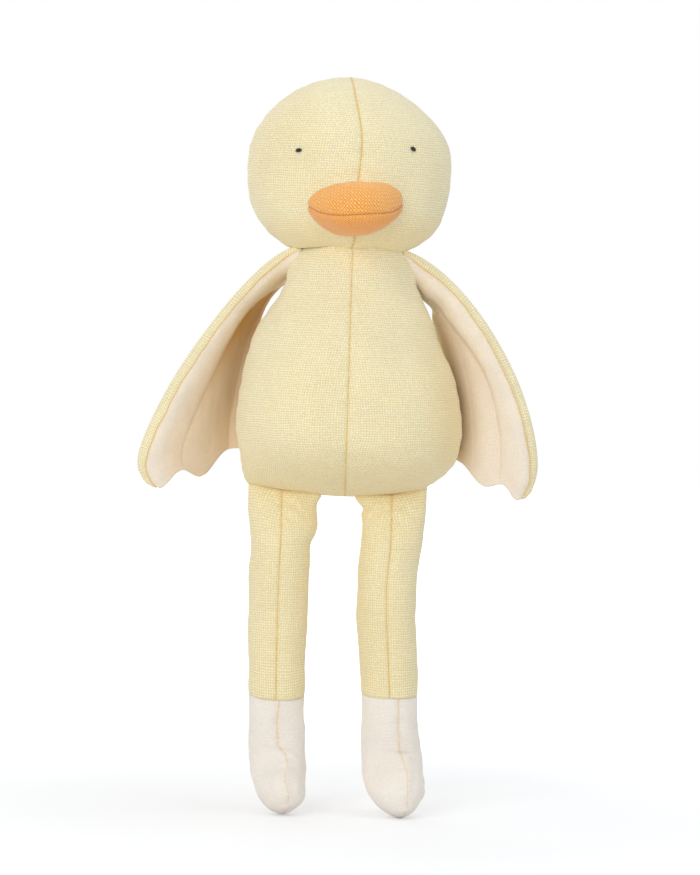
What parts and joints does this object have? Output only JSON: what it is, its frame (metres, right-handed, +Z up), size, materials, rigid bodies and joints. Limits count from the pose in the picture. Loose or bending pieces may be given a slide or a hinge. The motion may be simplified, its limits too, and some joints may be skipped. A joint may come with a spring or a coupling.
{
  "type": "plush chick",
  "caption": "Soft stuffed chick with a round head, padded bill, pear-shaped body, cape wings that lift and long legs that swing; a toy to hold or set on a shelf.",
  "frame": {"origin": "on the floor under the middle of the chick's box, as it stands in the picture", "axes": "+Z up, the face looks along -Y, +X to the chick's own left"},
  "size_m": [0.1632, 0.0884, 0.3],
  "materials": {
    "yellow_linen": "matte",
    "orange_linen": "matte",
    "cream_cotton": "matte",
    "black_thread": "matte",
    "polyester_filling": "matte"
  },
  "bodies": {
    "torso": {"body_front_left_panel": "yellow_linen", "body_front_right_panel": "yellow_linen", "body_back_left_panel": "yellow_linen", "body_back_right_panel": "yellow_linen", "body_stuffing": "polyester_filling"},
    "head": {"head_front_left_panel": "yellow_linen", "head_front_right_panel": "yellow_linen", "head_back_left_panel": "yellow_linen", "head_back_right_panel": "yellow_linen", "head_stuffing": "polyester_filling", "bill_stuffing": "polyester_filling", "bill_upper_panel": "orange_linen", "bill_lower_panel": "orange_linen", "left_eye_stitch": "black_thread", "right_eye_stitch": "black_thread"},
    "left_wing": {"left_wing_outer": "yellow_linen", "left_wing_lining": "cream_cotton", "left_wing_wadding": "polyester_filling"},
    "right_wing": {"right_wing_outer": "yellow_linen", "right_wing_lining": "cream_cotton", "right_wing_wadding": "polyester_filling"},
    "left_leg": {"left_leg_outer_half": "yellow_linen", "left_foot_outer_half": "cream_cotton", "left_leg_inner_half": "yellow_linen", "left_foot_inner_half": "cream_cotton", "left_leg_stuffing": "polyester_filling"},
    "right_leg": {"right_leg_outer_half": "yellow_linen", "right_foot_outer_half": "cream_cotton", "right_leg_inner_half": "yellow_linen", "right_foot_inner_half": "cream_cotton", "right_leg_stuffing": "polyester_filling"}
  },
  "joints": [
    {"name": "head_nod", "type": "hinge", "parent": "torso", "child": "head", "pos_m": [0.0033, 0.00575, 0.2155], "axis": [1, 0, 0], "range_deg": [-12, 15], "stiffness_Nm_per_rad": 0.15},
    {"name": "left_wing_flap", "type": "hinge", "parent": "torso", "child": "left_wing", "pos_m": [0.02765, 0.00675, 0.228], "axis": [0, -1, 0], "range_deg": [0, 50], "stiffness_Nm_per_rad": 0.003},
    {"name": "right_wing_flap", "type": "hinge", "parent": "torso", "child": "right_wing", "pos_m": [-0.02105, 0.00675, 0.228], "axis": [0, 1, 0], "range_deg": [0, 50], "stiffness_Nm_per_rad": 0.003},
    {"name": "left_leg_swing", "type": "hinge", "parent": "torso", "child": "left_leg", "pos_m": [0.0222, 0.00575, 0.128], "axis": [-1, 0, 0], "range_deg": [-40, 80], "stiffness_Nm_per_rad": 0.02},
    {"name": "right_leg_swing", "type": "hinge", "parent": "torso", "child": "right_leg", "pos_m": [-0.0222, 0.00575, 0.1284], "axis": [-1, 0, 0], "range_deg": [-40, 80], "stiffness_Nm_per_rad": 0.02}
  ]
}
